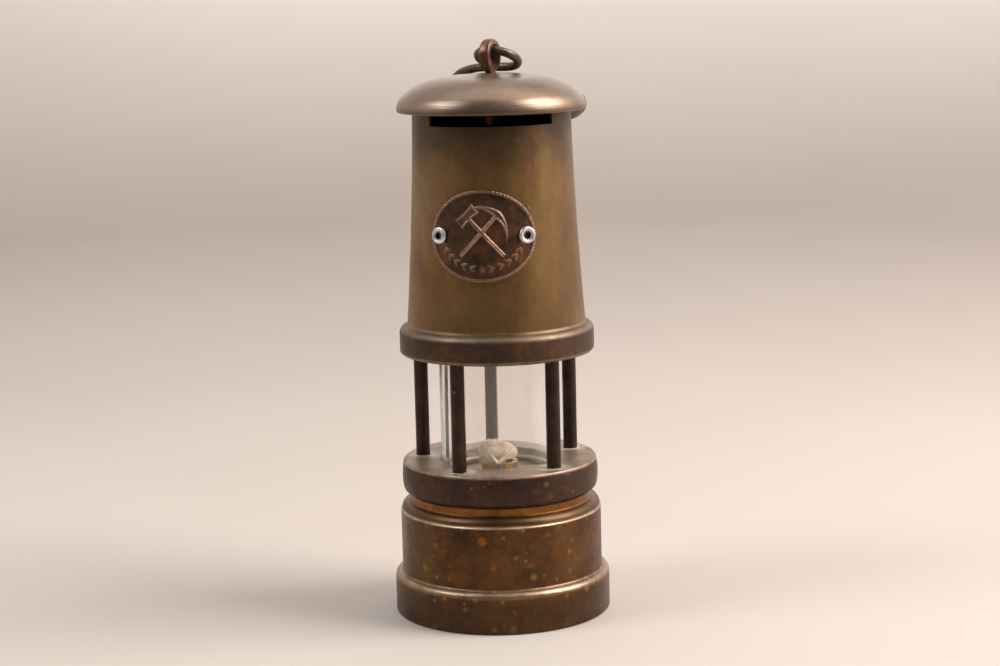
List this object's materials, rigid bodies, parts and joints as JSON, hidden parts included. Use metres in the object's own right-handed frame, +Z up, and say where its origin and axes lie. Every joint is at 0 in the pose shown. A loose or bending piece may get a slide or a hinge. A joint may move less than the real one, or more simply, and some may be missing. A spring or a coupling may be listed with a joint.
{
  "type": "miner's flame safety lamp",
  "caption": "Miner's flame safety lamp: oil vessel that unscrews from a pillared glass frame, gauze under a vented bonnet, domed hood and a swinging hook on a swivelling eye.",
  "frame": {"origin": "centre of the flat base that the lamp stands on", "axes": "+Z up along the lamp's axis, -Y towards the side with the emblem plate, +X to its right seen from the front"},
  "size_m": [0.088, 0.1087, 0.2322],
  "materials": {
    "vessel_brass": "patinated, mottled, worn at the edges",
    "neck_brass": "lightly tarnished turned brass",
    "cotton": "loose cotton wadding",
    "seal_rubber": "matte",
    "burner_brass": "satin",
    "washer_fibre": "matte heat-proof fibre",
    "wick_cotton": "frayed cotton",
    "ring_brass": "dark satin patina, worn at the edges",
    "inner_brass": "dull turned brass",
    "clear_glass": "clear",
    "pillar_brass": "dark satin patina",
    "gauze_wire": "woven wire",
    "bonnet_brass": "olive brown satin patina",
    "hood_brass": "satin bronze, soft wear",
    "plate_bronze": "antiqued relief, worn at the high points",
    "rivet_aluminium": "bright",
    "eye_copper": "copper coloured, worn at the edges",
    "hook_wire": "dark satin wire"
  },
  "bodies": {
    "vessel": {"foot_ring": "vessel_brass", "vessel_drum": "vessel_brass", "vessel_base": "vessel_brass", "vessel_top": "neck_brass", "burner_bush": "inner_brass", "cotton_wadding": "cotton"},
    "seal": {"vessel_seal": "seal_rubber"},
    "lamp_frame": {"lower_ring": "ring_brass", "glass_seat_ring": "inner_brass", "lower_glass_washer": "washer_fibre", "glass_chimney": "clear_glass", "upper_glass_washer": "washer_fibre", "pillar_1": "pillar_brass", "pillar_2": "pillar_brass", "pillar_3": "pillar_brass", "pillar_4": "pillar_brass", "pillar_5": "pillar_brass", "pillar_nuts": "inner_brass", "upper_ring": "ring_brass", "gauze_ring": "inner_brass", "gauze": "gauze_wire", "bonnet": "bonnet_brass", "hood": "hood_brass", "emblem_plate": "plate_bronze", "plate_rivets": "rivet_aluminium", "eye_washer": "inner_brass"},
    "burner_seat": {"burner_washer": "washer_fibre"},
    "burner": {"burner": "burner_brass"},
    "wick": {"wick": "wick_cotton"},
    "eye": {"eye_pin": "eye_copper"},
    "hook": {"hook": "hook_wire"}
  },
  "joints": [
    {"name": "vessel_unscrew", "type": "hinge", "parent": "vessel", "child": "seal", "pos_m": [0, 0, 0.0495], "axis": [0, 0, 1], "range_deg": [0, 1440]},
    {"name": "frame_lift", "type": "slide", "parent": "seal", "child": "lamp_frame", "axis": [0, 0, 1], "range_m": [0, 0.0081]},
    {"name": "burner_unscrew", "type": "hinge", "parent": "vessel", "child": "burner_seat", "pos_m": [0, 0, 0.0575], "axis": [0, 0, 1], "range_deg": [0, 1800]},
    {"name": "burner_lift", "type": "slide", "parent": "burner_seat", "child": "burner", "axis": [0, 0, 1], "range_m": [0, 0.0051]},
    {"name": "wick_draw", "type": "slide", "parent": "burner", "child": "wick", "axis": [0, 0, 1], "range_m": [0, 0.006]},
    {"name": "eye_swivel", "type": "hinge", "parent": "lamp_frame", "child": "eye", "pos_m": [0, 0, 0.2187], "axis": [0, 0, 1], "continuous": true},
    {"name": "hook_swing", "type": "hinge", "parent": "eye", "child": "hook", "pos_m": [0, 0, 0.2278], "axis": [0.9511, -0.309, 0], "range_deg": [0, 234]}
  ],
  "couplings": [
    {"joint": "frame_lift", "follows": "vessel_unscrew", "m_per_rad": 0.00031831},
    {"joint": "burner_lift", "follows": "burner_unscrew", "m_per_rad": 0.00015915}
  ]
}
